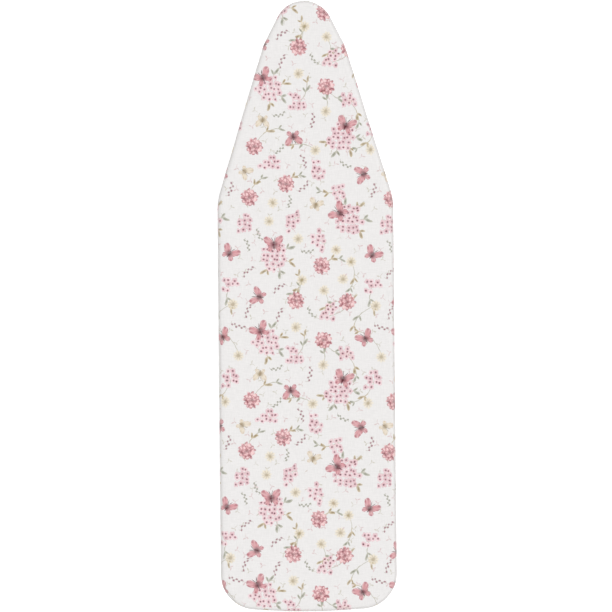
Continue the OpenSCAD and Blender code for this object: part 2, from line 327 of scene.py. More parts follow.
def curve(t, value, points):
    """A smooth curve through points, each (0 to 1, height)."""
    node = t.node("ShaderNodeFloatCurve", {"Value": value})
    line = node.mapping.curves[0]
    for spot, point in zip(line.points, (points[0], points[-1])):
        spot.location = point
    for point in points[1:-1]:
        line.points.new(*point)
    node.mapping.update()
    return node.outputs[0]


def draw_dahlia(t, near):
    """A ragged head of many small petals, each with a tone of its own, dark between them."""
    ragged = t.vector("SUBTRACT", t.noise(near, 0.42, 1.0, colour=True), (0.5, 0.5, 0.5))
    near = t.vector("MULTIPLY_ADD", ragged, (0.40, 0.40, 0), near)
    distance = t.vector("LENGTH", near)
    x, y, _ = t.parts(near)
    angle = t.math("ARCTAN2", y, x)
    polar = t.join(t.math("MULTIPLY", angle, 12 / (2 * PI)), t.math("MULTIPLY", distance, 3.2))
    cells = t.node("ShaderNodeTexVoronoi", {"Vector": polar, "Scale": 1.0, "Randomness": 0.6},
        voronoi_dimensions="2D")
    tint, _, _ = t.parts(cells.outputs["Color"])
    scallop = t.math("ABSOLUTE", t.math("SINE", t.math("MULTIPLY", angle, 6.0)))
    edge = t.math("MULTIPLY_ADD", scallop, 0.20, 0.80)
    mask = t.step(t.math("SUBTRACT", distance, edge), 0.06, -0.08)
    patch = t.math("MULTIPLY_ADD", t.noise(near, 0.50, 1.0), 1.1, -0.55)
    light = t.math("MULTIPLY_ADD", tint, 0.5, t.math("SUBTRACT", patch, cells.outputs["Distance"]))
    light = t.math("ADD", light, 0.85)
    colour = t.mix(t.step(light, 0.15, 0.60), linear(116, 54, 62), linear(188, 124, 130))
    colour = t.mix(t.step(light, 0.62, 1.10), colour, linear(240, 202, 202))
    heart = t.step(distance, 0.30, 0.05)
    return t.mix(t.math("MULTIPLY", heart, 0.7), colour, linear(120, 58, 64)), mask


# A wing's reach over the turn from straight behind to straight ahead
WING = [(0.0, 0.05), (0.10, 0.34), (0.22, 0.70), (0.33, 0.66), (0.43, 0.44), (0.50, 0.50),
    (0.62, 0.82), (0.73, 1.0), (0.81, 0.86), (0.90, 0.36), (1.0, 0.05)]


def draw_butterfly(t, near, distance):
    """Veined wings mirrored about a dark body."""
    x, y, kind = t.parts(near)
    pale = t.math("MULTIPLY", kind, 1 / KIND_STEP)
    across = t.math("ABSOLUTE", x)
    angle = t.math("ARCTAN2", y, across)
    reach = curve(t, t.math("MULTIPLY_ADD", angle, 1 / PI, 0.5), WING)
    share = t.math("DIVIDE", distance, t.math("MAXIMUM", reach, 0.05))
    side = t.join(across, y)
    body = oval(t, side, 0.0, -0.04, 90, 0.36, 0.075)
    feeler = oval(t, side, 0.11, 0.46, 66, 0.20, 0.028)
    thin = t.math("MAXIMUM", t.step(body, 0.2, -0.2), t.step(feeler, 0.5, -0.5))
    mask = t.math("MAXIMUM", t.step(share, 1.04, 0.93), thin)
    rim = t.step(share, 0.62, 0.92)
    vein = t.step(t.math("ABSOLUTE", t.math("SINE", t.math("MULTIPLY", angle, 8.0))), 0.30, 0.05)
    spot = t.math("MULTIPLY", rim, t.step(t.math("COSINE", t.math("MULTIPLY", angle, 16.0)), -0.4, -0.9))
    inner = t.mix(pale, linear(214, 152, 157), linear(228, 216, 196))
    outer = t.mix(pale, linear(182, 112, 122), linear(208, 194, 170))
    dark = t.mix(pale, linear(86, 32, 42), linear(150, 130, 98))
    colour = t.mix(t.math("MULTIPLY", rim, 0.8), inner, outer)
    colour = t.mix(t.math("MULTIPLY", vein, 0.38), colour, dark)
    colour = t.mix(t.math("MULTIPLY", spot, 0.55), colour, linear(242, 218, 214))
    root = t.step(distance, 0.46, 0.08)
    colour = t.mix(t.math("MULTIPLY", root, 0.85), colour, dark)
    return t.mix(thin, colour, dark), mask


def draw_cream(t, near, distance):
    """A many-petalled pale blossom with an olive heart."""
    x, y, _ = t.parts(near)
    angle = t.math("ARCTAN2", y, x)
    petal = t.math("ABSOLUTE", t.math("COSINE", t.math("MULTIPLY", angle, 4.5)))
    edge = t.math("MULTIPLY_ADD", petal, 0.24, 0.72)
    mask = t.math("MULTIPLY", t.step(t.math("SUBTRACT", distance, edge), 0.14, -0.26), 0.82)
    light = t.math("MULTIPLY", petal, distance)
    colour = t.mix(t.step(light, 0.15, 0.7), linear(204, 190, 164), linear(234, 223, 200))
    return t.mix(t.step(distance, 0.42, 0.12), colour, linear(166, 146, 104)), mask


def draw_leaf(t, near):
    """Two lens-shaped leaves on one stalk."""
    x, y, kind = t.parts(near)
    flat = t.join(x, y)
    big = oval(t, flat, 0.20, 0.34, 70, 0.64, 0.23)
    small = oval(t, flat, -0.36, -0.02, 135, 0.46, 0.18)
    stalk = oval(t, flat, 0.0, -0.55, 90, 0.44, 0.05)
    leaf = t.math("MINIMUM", big, small)
    mask = t.math("MAXIMUM", t.step(leaf, 0.08, -0.12), t.step(stalk, 0.3, -0.3))
    grey = t.math("MULTIPLY", kind, 1 / KIND_STEP)
    body = t.mix(grey, linear(196, 181, 152), linear(184, 183, 168))
    rib = t.mix(grey, linear(138, 118, 84), linear(128, 130, 114))
    return t.mix(t.step(leaf, -0.15, -0.95), body, rib), mask


def draw_sprig(t, near):
    """Buds on alternate sides of a bent stalk."""
    x, y, kind = t.parts(near)
    grey = t.math("MULTIPLY", kind, 1 / KIND_STEP)
    bent = t.math("SUBTRACT", x, t.math("MULTIPLY", t.math("MULTIPLY", y, y), 0.26))
    rows = t.math("MULTIPLY", y, 3.4)
    parity = t.math("PINGPONG", t.math("FLOOR", rows), 1.0)
    across = t.math("SUBTRACT", bent, t.math("MULTIPLY_ADD", parity, 0.24, -0.12))
    along = t.math("DIVIDE", t.math("SUBTRACT", t.math("FRACT", rows), 0.5), 3.4)
    bud = t.vector("LENGTH", t.join(across, t.math("MULTIPLY", along, 0.75)))
    within = t.step(t.math("ABSOLUTE", y), 1.0, 0.86)
    buds = t.math("MULTIPLY", t.step(bud, 0.16, 0.07), within)
    stalk = t.math("MULTIPLY", t.step(t.math("ABSOLUTE", bent), 0.06, 0.02), within)
    colour = t.mix(t.step(bud, 0.12, 0.04), linear(205, 172, 178), linear(140, 92, 106))
    colour = t.mix(grey, colour, linear(152, 152, 138))
    colour = t.mix(buds, linear(170, 166, 148), colour)
    return colour, t.math("MAXIMUM", buds, t.math("MULTIPLY", stalk, 0.7))


def draw_florets(t, place):
    """Small pink blossoms with dark hearts, packed into clusters; a floret is wholly in or out."""
    size = 4.1
    scaled = t.scale(place, 1 / size)
    cells = t.node("ShaderNodeTexVoronoi", {"Vector": scaled, "Scale": 1.0, "Randomness": 0.55},
        voronoi_dimensions="2D")
    spin, _, tint = t.parts(cells.outputs["Color"])
    centre = cells.outputs["Position"]
    centre_mm = t.scale(centre, size)
    inside = None
    for x, y, radius in CLUSTERS:
        reach = t.vector("LENGTH", wrapped(t, centre_mm, x, y))
        this = t.math("LESS_THAN", reach, radius)
        inside = this if inside is None else t.math("MAXIMUM", inside, this)
    x, y, _ = t.parts(t.vector("SUBTRACT", scaled, centre))
    distance = cells.outputs["Distance"]
    angle = t.math("MULTIPLY_ADD", spin, 6.0, t.math("ARCTAN2", y, x))
    petal = t.math("ABSOLUTE", t.math("COSINE", t.math("MULTIPLY", angle, 2.5)))
    edge = t.math("MULTIPLY_ADD", petal, 0.20, 0.44)
    mask = t.step(t.math("SUBTRACT", distance, edge), 0.05, -0.07)
    colour = t.mix(t.step(distance, 0.12, 0.44), linear(210, 160, 170), linear(241, 220, 222))
    colour = t.mix(t.math("MULTIPLY", tint, 0.55), colour, linear(205, 160, 168))
    rim = t.step(t.math("SUBTRACT", edge, distance), 0.12, 0.0)
    colour = t.mix(t.math("MULTIPLY", rim, 0.65), colour, linear(190, 134, 144))
    colour = t.mix(t.step(distance, 0.21, 0.09), colour, linear(98, 54, 64))
    return colour, t.math("MULTIPLY", mask, inside)


def draw_stems(t, place):
    """Thin curved stalks between the blossoms."""
    mask = None
    for x, y, radius, turn, span in STEMS:
        away = wrapped(t, place, x, y)
        reach = t.vector("LENGTH", away)
        middle = (math.cos(math.radians(turn)), math.sin(math.radians(turn)), 0)
        facing = t.math("DIVIDE", t.vector("DOT_PRODUCT", away, middle), reach)
        line = t.step(t.math("ABSOLUTE", t.math("SUBTRACT", reach, radius)), 0.42, 0.12)
        limit = math.cos(math.radians(span))
        this = t.math("MULTIPLY", line, t.step(facing, limit, limit + (1 - limit) * 0.3))
        mask = this if mask is None else t.math("MAXIMUM", mask, this)
    return t.math("MULTIPLY", mask, 0.75)


def draw_specks(t, place):
    """Loose small leaves and buds between the larger motifs."""
    size = 11.0
    scaled = t.scale(place, 1 / size)
    cells = t.node("ShaderNodeTexVoronoi", {"Vector": scaled, "Scale": 1.0, "Randomness": 0.9},
        voronoi_dimensions="2D")
    turn, chance, tint = t.parts(cells.outputs["Color"])
    near = t.vector("SUBTRACT", scaled, cells.outputs["Position"])
    turned = t.turn(near, t.math("MULTIPLY", turn, 2 * PI))
    one = oval(t, turned, 0.10, 0.07, 30, 0.13, 0.050)
    two = oval(t, turned, -0.10, 0.02, 140, 0.11, 0.044)
    three = oval(t, turned, 0.0, -0.16, 95, 0.17, 0.020)
    shape = t.math("MINIMUM", t.math("MINIMUM", one, two), three)
    mask = t.math("MULTIPLY", t.step(shape, 0.15, -0.25), t.step(chance, 0.22, 0.28))
    colour = t.mix(t.step(tint, 0.45, 0.60), linear(184, 178, 156), linear(203, 168, 168))
    return colour, t.math("MULTIPLY", mask, 0.62)


def add_print(t, cloth, ground):
    """The floral print over the ground colour; cloth is the flat cloth in millimetres."""
    turned = t.turn(cloth, PRINT_TURN)
    tile = t.vector("WRAP", turned, (TILE_W, TILE_L, 1), (0, 0, -1))
    wobble = t.vector("SUBTRACT", t.noise(tile, 4.5, 1.0, colour=True), (0.5, 0.5, 0.5))
    place = t.vector("MULTIPLY_ADD", wobble, (1.6, 1.6, 0), tile)
    wash = t.math("MULTIPLY_ADD", t.step(t.noise(tile, 2.4, 3.0), 0.2, 0.75), 0.26, 0.74)
    colour = t.mix(draw_stems(t, place), ground, linear(178, 174, 156))
    layers = [draw_specks(t, place), draw_sprig(t, nearest(t, place, SPRIGS)[0]),
        draw_leaf(t, nearest(t, place, LEAVES)[0]), draw_cream(t, *nearest(t, place, CREAMS)),
        draw_florets(t, place), draw_dahlia(t, nearest(t, place, DAHLIAS)[0]),
        draw_butterfly(t, *nearest(t, place, BUTTERFLIES))]
    for paint, mask in layers:
        colour = t.mix(t.math("MULTIPLY", mask, wash), colour, paint)
    return colour


EDGE_SHADE_FROM, EDGE_SHADE_TO = (0.9, 2.4), (12.0, 6.0)  # depths below the top, in mm, between which the cover's rolled edge and side are painted darker as shade
THREAD_PITCH = 0.7  # in mm


def cotton_material():
    material, t, shader = new_material("printed_cotton", roughness=0.82, sheen_weight=0.12,
        sheen_roughness=0.5, specular_ior_level=0.25)
    cloth = t.node("ShaderNodeAttribute", attribute_name="cloth").outputs["Vector"]
    slub = t.noise(t.vector("MULTIPLY", cloth, (1.0, 0.12, 1.0)), 0.8, 2.0)
    slub_across = t.noise(t.vector("MULTIPLY", cloth, (0.12, 1.0, 1.0)), 0.8, 2.0)
    threads = t.math("ADD", slub, slub_across)
    ground = t.mix(t.step(threads, 0.7, 1.35), linear(225, 223, 222), linear(232, 230, 229))
    colour = add_print(t, cloth, ground)
    _, _, height = t.parts(object_mm(t))
    depth = t.math("SUBTRACT", 1000 * cover_high[2], height)
    # Painted shade: the rolled edge and the side below it are mixed unevenly towards grey, standing in
    # for the shading where the cloth turns down from the top.
    painted_edge_shade = t.math("MULTIPLY", t.step(depth, *EDGE_SHADE_FROM), t.step(depth, *EDGE_SHADE_TO))
    painted_edge_shade = t.math("MULTIPLY", painted_edge_shade, t.math("MULTIPLY_ADD", t.noise(cloth, 6.0, 3.0), 0.20, 0.15))
    t.feed(shader.inputs["Base Color"], t.mix(painted_edge_shade, colour, linear(150, 146, 142)))
    x, y, _ = t.parts(t.scale(cloth, 2 * PI / THREAD_PITCH))
    weave = t.math("MULTIPLY", t.math("SINE", x), t.math("SINE", y))
    height = t.math("MULTIPLY_ADD", weave, 0.35, threads)
    t.feed(shader.inputs["Normal"], t.bump(height, 0.35, 0.00012))
    return material


# ---------------------------------------------------------------- other materials

def felt_material():
    material, t, shader = new_material("needle_felt", roughness=0.95, specular_ior_level=0.15)
    place = object_mm(t)
    fibre = t.noise(t.vector("MULTIPLY", place, (1, 0.35, 1)), 1.4, 6.0, 0.7)
    clump = t.noise(place, 14.0, 3.0)
    colour = t.mix(t.step(fibre, 0.3, 0.7), linear(176, 172, 160), linear(214, 210, 198))
    colour = t.mix(t.math("MULTIPLY", clump, 0.35), colour, linear(190, 182, 164))
    t.feed(shader.inputs["Base Color"], colour)
    t.feed(shader.inputs["Normal"], t.bump(fibre, 0.8, 0.0006))
    return material


def galvanised_material():
    material, t, shader = new_material("galvanised_steel", metallic=1.0)
    place = object_mm(t)
    spangle = t.node("ShaderNodeTexVoronoi", {"Vector": place, "Scale": 1 / 6.0, "Randomness": 1.0})
    tone, _, _ = t.parts(spangle.outputs["Color"])
    grain = t.noise(t.vector("MULTIPLY", place, (1, 0.08, 1)), 0.7, 4.0)
    tone = t.math("MULTIPLY_ADD", grain, 0.35, t.math("MULTIPLY", tone, 0.65))
    t.feed(shader.inputs["Base Color"], t.mix(tone, linear(150, 154, 158), linear(198, 201, 203)))
    t.feed(shader.inputs["Roughness"], t.math("MULTIPLY_ADD", tone, -0.16, 0.50))
    t.feed(shader.inputs["Normal"], t.bump(grain, 0.15, 0.0002))
    return material


def plated_material():
    material, t, shader = new_material("zinc_plate", metallic=1.0)
    place = object_mm(t)
    cloud = t.noise(place, 5.0, 4.0)
    scratch = t.noise(t.vector("MULTIPLY", place, (0.15, 1, 1)), 0.5, 3.0)
    t.feed(shader.inputs["Base Color"], t.mix(cloud, linear(176, 178, 182), linear(214, 214, 210)))
    t.feed(shader.inputs["Roughness"], t.math("MULTIPLY_ADD", scratch, 0.22, 0.20))
    t.feed(shader.inputs["Normal"], t.bump(scratch, 0.12, 0.0002))
    return material


def coated_material():
    material, t, shader = new_material("powder_coat", specular_ior_level=0.5, coat_weight=0.15,
        coat_roughness=0.3)
    place = object_mm(t)
    peel = t.noise(place, 0.9, 2.0)
    tone = t.noise(place, 30.0, 3.0)
    rub = t.step(t.noise(place, 7.0, 6.0, 0.75), 0.68, 0.76)
    colour = t.mix(tone, linear(222, 222, 220), linear(232, 232, 230))
    colour = t.mix(t.math("MULTIPLY", rub, 0.35), colour, linear(196, 196, 194))
    t.feed(shader.inputs["Base Color"], colour)
    t.feed(shader.inputs["Roughness"], t.math("MULTIPLY_ADD", peel, 0.14, 0.34))
    t.feed(shader.inputs["Normal"], t.bump(peel, 0.25, 0.00025))
    return material


def moulded_material(name, dark, light, rough):
    """Moulded plastic or rubber: faint grain, slightly uneven tone and gloss."""
    material, t, shader = new_material(name, specular_ior_level=0.4)
    place = object_mm(t)
    grain = t.noise(place, 0.45, 3.0)
    tone = t.noise(place, 9.0, 3.0)
    t.feed(shader.inputs["Base Color"], t.mix(tone, dark, light))
    t.feed(shader.inputs["Roughness"], t.math("MULTIPLY_ADD", grain, 0.2, rough - 0.1))
    t.feed(shader.inputs["Normal"], t.bump(grain, 0.3, 0.0002))
    return material


RIB_PITCH = 1.2  # in mm


def elastic_material():
    material, t, shader = new_material("ribbed_elastic", roughness=0.8)
    x, y, _ = t.parts(object_mm(t))
    rib = t.math("SINE", t.math("MULTIPLY", t.math("ADD", x, y), 2 * PI / RIB_PITCH))
    colour = t.mix(t.step(rib, -1, 1), linear(206, 206, 203), linear(235, 235, 232))
    t.feed(shader.inputs["Base Color"], colour)
    t.feed(shader.inputs["Normal"], t.bump(rib, 0.4, 0.0003))
    return material


add_world(SKY_OVERHEAD, SKY_HORIZON)
cotton = cotton_material()
felt = felt_material()
galvanised = galvanised_material()
plated = plated_material()
coated = coated_material()
nylon = moulded_material("nylon", linear(222, 218, 206), linear(236, 233, 224), 0.45)
cap_plastic = moulded_material("cap_plastic", linear(30, 30, 32), linear(46, 46, 49), 0.42)
rubber = moulded_material("moulded_rubber", linear(38, 38, 40), linear(56, 56, 58), 0.68)
elastic = elastic_material()
thread = moulded_material("sewing_thread", linear(214, 211, 206), linear(236, 234, 230), 0.75)

NODE_MATERIALS = {
    galvanised: ["deck_plate", "rim_strip", "front_crossbar", "rear_crossbar"],
    plated: ["front_deck_brackets", "rear_deck_brackets", "deck_rivets", "front_deck_pins",
        "rear_deck_pins", "stop_pins", "base_front_brackets", "base_rear_brackets", "base_rivets",
        "front_base_pins", "rear_base_pins"],
    coated: ["front_link_frame", "rear_link_frame", "base_loop", "base_front_strap", "base_rear_strap"],
    nylon: ["front_link_bushes", "rear_link_bushes"],
    cap_plastic: ["deck_pin_caps", "base_pin_caps"],
    rubber: ["stop_sleeves", "front_feet", "rear_feet", "fold_bumpers"],
    elastic: ["hem_elastic"],
}
for material, names in NODE_MATERIALS.items():
    for name in names:
        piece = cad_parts[name]
        for slot in piece.material_slots:
            slot.material = material


# ---------------------------------------------------------------- outline of the board

# The same radii, taper and hem as the CAD cover's, in metres
HALF_W, HALF_L = cover_high.x, cover_high.y
TIP_R, CHEEK_R, SHOULDER_R, CORNER_R, TAIL_R = 0.025, 0.037, 0.060, 0.030, 0.570
TAPER = math.radians(17)
TAPER_L = 0.167  # nose to shoulder
HEM_W = 0.026  # from the outline to the opening in the hem
HEM_NOSE_R, HEM_NOSE_SETBACK, HEM_CORNER_R = 0.016, 0.064, 0.014
TAIL_Y = TAIL_R - HALF_L  # centre of the bowed tail edge


def corner_circle(x, radius, tail_radius):
    """The circle that fits into a tail corner."""
    return (x, TAIL_Y - math.sqrt((tail_radius - radius) ** 2 - x * x), radius)


def edge_circles():
    """Circles down the right side of the board, each (x, y, radius)."""
    shoulder_y = HALF_L - TAPER_L
    reach = HALF_W * math.cos(TAPER) + shoulder_y * math.sin(TAPER)
    return [(0, HALF_L - TIP_R, TIP_R),
        (0, (reach - CHEEK_R) / math.sin(TAPER), CHEEK_R),
        (HALF_W - SHOULDER_R, shoulder_y - SHOULDER_R * math.tan(TAPER / 2), SHOULDER_R),
        corner_circle(HALF_W - CORNER_R, CORNER_R, TAIL_R),
        (0, TAIL_Y, TAIL_R)]


def hem_circles():
    """Circles down the right side of the opening in the hem."""
    _, _, (x, y, _), _, _ = edge_circles()
    return [(0, HALF_L - HEM_NOSE_SETBACK - HEM_NOSE_R, HEM_NOSE_R),
        (x, y, SHOULDER_R - HEM_W),
        corner_circle(HALF_W - HEM_W - HEM_CORNER_R, HEM_CORNER_R, TAIL_R - HEM_W),
        (0, TAIL_Y, TAIL_R - HEM_W)]


def tangent_angle(p, q):
    """Direction in which the line that wraps two circles faces outwards."""
    gap = math.hypot(p[0] - q[0], p[1] - q[1])
    return math.atan2(p[1] - q[1], p[0] - q[0]) - math.acos(min(1.0, (q[2] - p[2]) / gap))


def half_sections(circles, step=0.0005):
    """Right half of an outline as five dense runs: head, shoulder, side, corner, tail.
    A point is (place, outward direction)."""
    angles = [PI / 2] + [tangent_angle(p, q) for p, q in zip(circles, circles[1:])] + [-PI / 2]
    arcs, lines = [], []
    for (x, y, radius), start, end in zip(circles, angles, angles[1:]):
        count = max(8, int(radius * (start - end) / step))
        turns = [start + (end - start) * i / count for i in range(count + 1)]
        arcs.append([(Vector((x + radius * math.cos(a), y + radius * math.sin(a))),
            Vector((math.cos(a), math.sin(a)))) for a in turns])
    for before, after in zip(arcs, arcs[1:]):
        (a, facing), (b, _) = before[-1], after[0]
        count = max(2, int((b - a).length / step))
        lines.append([(a.lerp(b, i / count), facing) for i in range(count + 1)])
    head = []
    for arc, line in zip(arcs[:-3], lines[:-2]):
        head += arc + line
    return [head, arcs[-3], lines[-2], arcs[-2], arcs[-1]]


def resample(run, count):
    """count points evenly along a run, without its last point."""
    lengths = [0.0]
    for (a, _), (b, _) in zip(run, run[1:]):
        lengths.append(lengths[-1] + (b - a).length)
    points, at = [], 0
    for i in range(count):
        goal = lengths[-1] * i / count
        while at < len(run) - 2 and lengths[at + 1] < goal:
            at += 1
        part = (goal - lengths[at]) / max(lengths[at + 1] - lengths[at], 1e-9)
        (a, u), (b, v) = run[at], run[at + 1]
        points.append((a.lerp(b, part), u.lerp(v, part).normalized()))
    return points


SECTION_COUNTS = (86, 10, 132, 26, 22)  # points on head, shoulder, side, corner and tail
EDGE_POINTS = 2 * sum(SECTION_COUNTS)


def loop(circles):
    """A closed outline, from the nose down the right side and back up the left."""
    half = []
    for run, count in zip(half_sections(circles), SECTION_COUNTS):
        half += resample(run, count)
    _, y, radius = circles[-1]
    half.append((Vector((0, -radius + y)), Vector((0, -1))))
    mirrored = [(Vector((-p.x, p.y)), Vector((-n.x, n.y))) for p, n in half[-2:0:-1]]
    return half + mirrored


SPINE = (-0.190, 0.196)  # ends of the middle line that the flat top grows from


def spine_point(p):
    return Vector((0, min(max(p.y, SPINE[0]), SPINE[1])))


# ---------------------------------------------------------------- cloth and pad meshes

def skin_rings(rings):
    """A mesh from rings of (place, cloth place); the first ring is the middle line."""
    mesh = bmesh.new()
    layer = mesh.verts.layers.float_vector.new("cloth")
    count = len(rings[0])
    rows = []
    for ring in rings:
        row = []
        for place, cloth in ring:
            vertex = mesh.verts.new(place)
            vertex[layer] = cloth
            row.append(vertex)
        rows.append(row)
    for inner, outer in zip(rows, rows[1:]):
        for i in range(count):
            j = (i + 1) % count
            mesh.faces.new((inner[i], outer[i], outer[j], inner[j]))
    bmesh.ops.remove_doubles(mesh, verts=rows[0], dist=1e-6)
    bmesh.ops.recalc_face_normals(mesh, faces=mesh.faces)
    return mesh


def mesh_object(name, mesh, material):
    data = bpy.data.meshes.new(name)
    mesh.to_mesh(data)
    mesh.free()
    for face in data.polygons:
        face.use_smooth = True
    data.materials.append(material)
    piece = bpy.data.objects.new(name, data)
    bpy.context.collection.objects.link(piece)
    return piece


FOLD_GAIN = 2.2  # lifts the sum of waves, which rarely peak together


class Folds:
    """Uneven folds along a closed edge: a sum of waves with whole numbers of turns."""

    def __init__(self, seed, low, high, count):
        draw = random.Random(seed)
        self.waves = [(draw.randint(low, high), draw.uniform(0, 2 * PI), draw.uniform(0.5, 1.0))
            for _ in range(count)]

    def at(self, share):
        """Height of the folds at a share of the way round, about -1 to 1."""
        total = sum(size * math.sin(2 * PI * turns * share + shift)
            for turns, shift, size in self.waves)
        most = sum(size for _, _, size in self.waves)
        return min(max(total / most * FOLD_GAIN, -1.0), 1.0)


rim_low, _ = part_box("rim_strip")
elastic_low, elastic_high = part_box("hem_elastic")

EDGE_ROLL = 0.0052  # how softly the cover turns over the pad's edge
SKIRT_ROLL = 0.0016  # and under the deck's rim
HEM_Z = rim_low[2] - 0.0007
CASING_W = 0.009
CASING_T = 0.0024
CASING_Z = (elastic_low[2] + elastic_high[2]) / 2
FOLD_ROOM = 0.0002  # clear of the steel above the hem
TOP_DROP = 0.0004  # keeps the cloth's uneven top inside the CAD's box
SIDE_DROP = 0.0003
TOP_SHARES = (0, 0.12, 0.26, 0.40, 0.54, 0.67, 0.78, 0.87, 0.94, 1.0)  # middle line to edge
PUCKER = 0.0007
HEM_SHARE = 0.58  # how much of the way to the opening the plain hem takes
HEM_RINGS, CASING_RINGS = 13, 13
STITCH_PITCH, STITCH_L, STITCH_T = 0.0036, 0.0026, 0.0005
SIM_SCALE, SIM_FRAMES = 10, 24
GATHER_REACH = 0.004  # how far the simulation may move the hem
SIDEWAYS_SHARE = 0.4  # how much of its sideways moves the hem keeps


def smooth_share(x):
    x = min(max(x, 0.0), 1.0)
    return x * x * (3 - 2 * x)


def fullness(edge, opening):
    """How much cloth the hem has to gather, from 0 on straight sides to 1 at the tightest corner."""
    count = len(edge)
    spare = []
    for i in range(count):
        before, after = i - 1, (i + 1) % count
        outer = (edge[after][0] - edge[before][0]).length
        inner = (opening[after][0] - opening[before][0]).length
        spare.append(max(0.0, 1 - inner / outer))
    for _ in range(12):
        spare = [(spare[i - 1] + spare[i] + spare[(i + 1) % count]) / 3 for i in range(count)]
    most = max(spare)
    return [value / most for value in spare]


def build_cover():
    """One sheet of cotton: flat top, rolled edge, skirt, gathered hem and the casing at its edge."""
    edge = loop(edge_circles())
    opening = loop(hem_circles())
    inner_edge = [(p - n * EDGE_ROLL, n) for p, n in edge]
    spare = fullness(edge, opening)
    count = len(edge)
    rings = []

    for share in TOP_SHARES:
        ring = []
        for p, n in inner_edge:
            flat = spine_point(p).lerp(p, share)
            dip = noise(Vector((flat.x * 22, flat.y * 16, 3.1))) * 0.00025
            dip += noise(Vector((flat.x * 60, flat.y * 60, 9.7))) * 0.00006
            ring.append((Vector((flat.x, flat.y, top_z - TOP_DROP + dip)),
                Vector((flat.x, flat.y, 0))))
        rings.append(ring)

    skirt_top, skirt_bottom = top_z - EDGE_ROLL, HEM_Z + SKIRT_ROLL
    puckers = Folds(12, 60, 110, 6)
    gathers = Folds(5, 95, 150, 9)
    slack = Folds(8, 22, 60, 7)

    def outside(inset, z, reach, pucker):
        """A ring on the cover's side; reach is how much cloth lies between it and the flat top."""
        ring = []
        for i, ((p, n), (q, _)) in enumerate(zip(edge, inner_edge)):
            wave = max(puckers.at(i / count), -0.4) * pucker * (0.5 + spare[i])
            settle = noise(Vector((p.x * 40, p.y * 40, z * 60))) * 0.00015
            place = p - n * (inset + wave * 0.5 + settle + SIDE_DROP)
            cloth = q + n * reach
            ring.append((Vector((place.x, place.y, z)), Vector((cloth.x, cloth.y, 0))))
        return ring

    for turn in (12, 26, 40, 54, 68, 80, 90):
        a = math.radians(turn)
        z = skirt_top + EDGE_ROLL * math.cos(a) - TOP_DROP
        rings.append(outside(EDGE_ROLL * (1 - math.sin(a)), z, EDGE_ROLL * a, 0.0))
    reach = EDGE_ROLL * PI / 2
    for part in (0.25, 0.5, 0.75, 1.0):
        z = skirt_top + (skirt_bottom - skirt_top) * part
        rings.append(outside(0.0, z, reach + skirt_top - z, PUCKER * part * part))
    reach += skirt_top - skirt_bottom
    for turn in (22, 45, 68, 90):
        a = math.radians(turn)
        rings.append(outside(SKIRT_ROLL * (1 - math.cos(a)), skirt_bottom - SKIRT_ROLL * math.sin(a),
            reach + SKIRT_ROLL * a, PUCKER))
    reach += SKIRT_ROLL * PI / 2

    def hem_ring(share, back, middle, lift):
        """A ring of the hem, a share of the way to the opening and back from its edge.
        The folds hang below middle; lift raises or lowers the ring from there."""
        ring = []
        for i, ((p, n), (q, m)) in enumerate(zip(edge, opening)):
            start = p - n * SKIRT_ROLL
            flat = start.lerp(q, share) + m * back
            grow = smooth_share(share * 1.6)
            fold = 0.5 + 0.5 * gathers.at(i / count + 0.0006 * math.sin(7 * share))
            sag = 0.5 + 0.5 * slack.at(i / count)
            depth = (0.0011 + 0.0017 * spare[i]) * fold + 0.0006 * sag
            if lift:
                depth *= 0.3
            over = back if lift > 0 else -back
            cloth = (p - n * EDGE_ROLL) + n * (reach + (start - q).length * share + over)
            ring.append((Vector((flat.x, flat.y, middle - FOLD_ROOM - depth * grow + lift)),
                Vector((cloth.x, cloth.y, 0))))
        return ring

    for i in range(HEM_RINGS):
        share = HEM_SHARE * (i + 1) / HEM_RINGS
        sunk = (HEM_Z - CASING_Z + CASING_T / 2) * 0.6 * smooth_share(share / 0.6)
        rings.append(hem_ring(share, 0, HEM_Z - sunk, 0))
    # The casing runs inwards under the elastic, round the opening's edge and back above it.
    for i in range(CASING_RINGS):
        a = math.radians(-150 + 300 * i / (CASING_RINGS - 1))
        rings.append(hem_ring(1.0, CASING_W / 2 * (1 - math.cos(a)), CASING_Z + FOLD_ROOM,
            CASING_T / 2 * math.sin(a) - 1e-6))
    return mesh_object("cotton_cover", skin_rings(rings), cotton)


def sim_mesh(name, places, faces):
    """A scratch object, enlarged because the cloth solver is steadier on larger cloth."""
    data = bpy.data.meshes.new(name)
    data.from_pydata([place * SIM_SCALE for place in places], [], faces)
    piece = bpy.data.objects.new(name, data)
    bpy.context.collection.objects.link(piece)
    return piece


